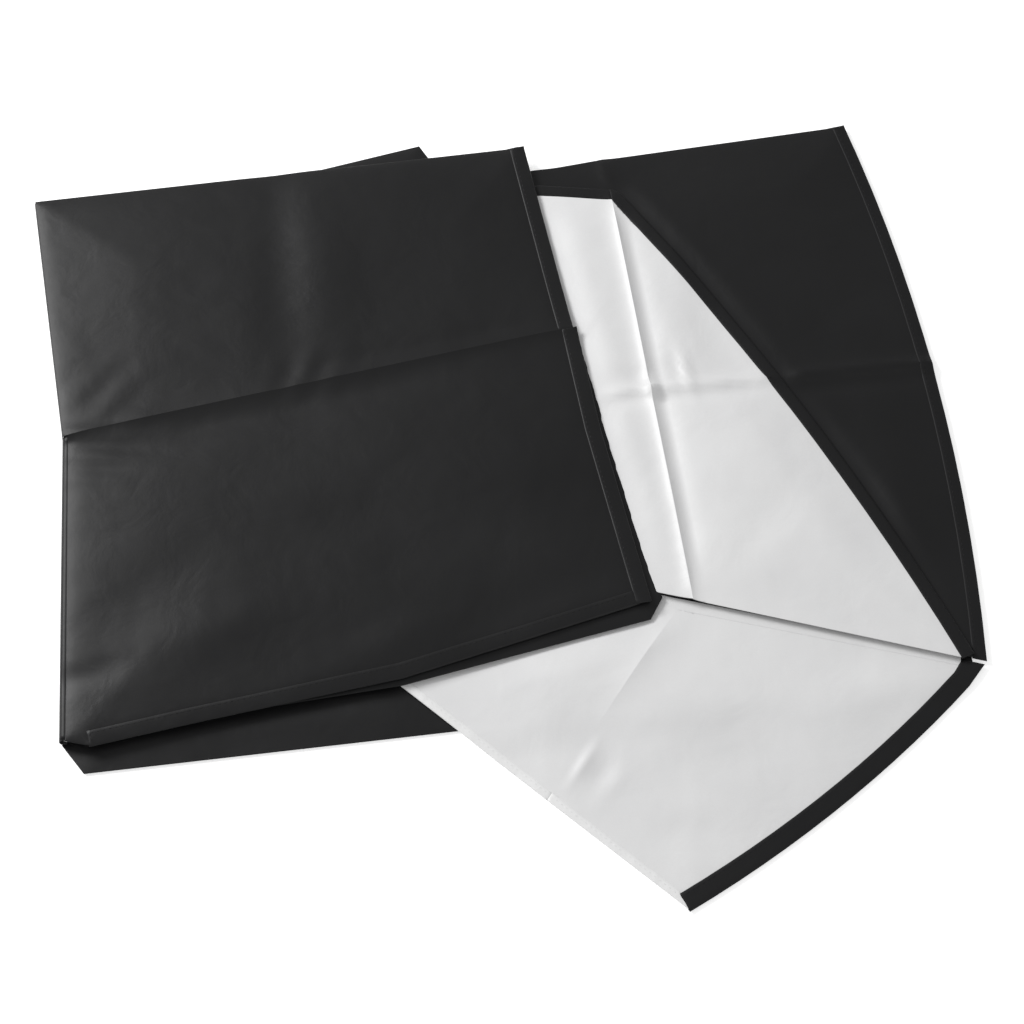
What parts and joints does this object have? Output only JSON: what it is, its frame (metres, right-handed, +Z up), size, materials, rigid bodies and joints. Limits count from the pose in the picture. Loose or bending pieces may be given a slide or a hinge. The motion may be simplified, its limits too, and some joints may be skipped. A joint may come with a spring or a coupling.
{
  "type": "folding solar blanket",
  "caption": "Two-faced folding blanket, black on one face and white on the other, folded into a flat packet with bound curved rims, a page that opens and two flaps that lift.",
  "frame": {"origin": "a point near the middle of the underside of the bottom sheet, on the surface that the blanket lies on", "axes": "+X along the long side from the left fold to the rear panel's bound rim, +Y from the lower flap's point to the packet's back edge, +Z up out of the surface"},
  "size_m": [0.82, 0.755, 0.0134],
  "materials": {
    "black_cloth": "satin",
    "white_cloth": "satin",
    "binding_tape": "matte",
    "black_hem": "satin",
    "white_welt": "satin"
  },
  "bodies": {
    "base": {"bottom_sheet_black_cloth": "black_cloth", "bottom_sheet_white_cloth": "white_cloth", "left_fold_base": "black_cloth", "lower_flap_black_cloth": "black_cloth", "lower_flap_welt": "white_welt", "lower_flap_white_cloth": "white_cloth", "rear_panel_binding": "binding_tape", "rear_panel_black_cloth": "black_cloth", "rear_panel_white_cloth": "white_cloth", "upper_panel_binding": "binding_tape", "upper_panel_black_cloth": "black_cloth", "upper_panel_white_cloth": "white_cloth"},
    "page_near": {"left_fold_page": "black_cloth", "page_near_black_cloth": "black_cloth", "page_near_front_hem": "black_hem", "page_near_side_hem": "black_hem", "page_near_white_cloth": "white_cloth", "under_page_near_black_cloth": "black_cloth", "under_page_near_white_cloth": "white_cloth"},
    "page_far": {"page_far_black_cloth": "black_cloth", "page_far_side_hem": "black_hem", "page_far_white_cloth": "white_cloth", "under_page_far_black_cloth": "black_cloth", "under_page_far_white_cloth": "white_cloth"},
    "inner_flap": {"inner_flap_binding": "binding_tape", "inner_flap_black_cloth": "black_cloth", "inner_flap_white_cloth": "white_cloth"},
    "corner_flap": {"corner_flap_binding": "binding_tape", "corner_flap_black_cloth": "black_cloth", "corner_flap_welt": "white_welt", "corner_flap_white_cloth": "white_cloth"}
  },
  "joints": [
    {"name": "page_turn", "type": "hinge", "parent": "base", "child": "page_near", "pos_m": [-0.4007, 0.065, 0.0074], "axis": [0.1229, -0.9924, 0], "range_deg": [0, 175]},
    {"name": "cross_fold", "type": "hinge", "parent": "page_near", "child": "page_far", "pos_m": [-0.385, 0.065, 0.0135], "axis": [0.9701, 0.2425, 0], "range_deg": [0, 170]},
    {"name": "inner_flap_fold", "type": "hinge", "parent": "base", "child": "inner_flap", "pos_m": [0.12, 0.115, 0.0089], "axis": [0.1483, -0.9889, 0], "range_deg": [0, 120]},
    {"name": "corner_flap_fold", "type": "hinge", "parent": "base", "child": "corner_flap", "pos_m": [0.085, -0.175, 0.0043], "axis": [-0.5433, -0.8396, 0], "range_deg": [0, 60]}
  ]
}
